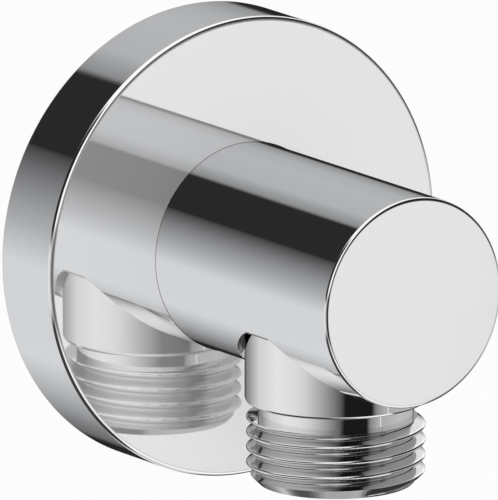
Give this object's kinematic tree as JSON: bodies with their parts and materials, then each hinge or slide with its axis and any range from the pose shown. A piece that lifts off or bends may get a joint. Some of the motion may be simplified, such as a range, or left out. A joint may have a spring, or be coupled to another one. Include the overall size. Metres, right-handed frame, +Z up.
{
  "type": "wall outlet elbow",
  "caption": "Chromed wall elbow for a shower hose: round escutcheon, closed cylindrical barrel, threaded nipple pointing down with a non-return valve in its bore, threaded shank into the wall.",
  "frame": {"origin": "on the barrel's axis, in the plane of the escutcheon's back rim, which is the finished wall", "axes": "+Y runs along the barrel's axis into the wall, +Z is up, the outlet points down -Z, and +X is to the right of someone who faces the wall"},
  "size_m": [0.055, 0.0575, 0.055],
  "materials": {
    "polished_chrome": "mirror chrome plating on turned brass",
    "black_rubber": "moulded, satin",
    "gasket_foam": "die-cut closed-cell sheet",
    "housing_plastic": "moulded, matt",
    "guide_plastic": "moulded, matt",
    "spring_steel": "drawn stainless wire"
  },
  "bodies": {
    "fitting": {"elbow_body": "polished_chrome", "outlet_nipple": "polished_chrome", "escutcheon": "polished_chrome", "barrel_ring": "black_rubber", "shank_ring": "black_rubber", "cartridge_ring": "black_rubber", "wall_gasket": "gasket_foam", "cartridge_housing": "housing_plastic", "cartridge_guide": "guide_plastic", "valve_spring": "spring_steel"},
    "poppet": {"valve_poppet": "guide_plastic", "poppet_seal": "black_rubber"}
  },
  "joints": [
    {"name": "poppet_slide", "type": "slide", "parent": "fitting", "child": "poppet", "axis": [0, 0, -1], "range_m": [0, 0.0025], "stiffness_N_per_m": 100, "springref_m": -0.0015, "deforming": ["valve_spring"]}
  ]
}
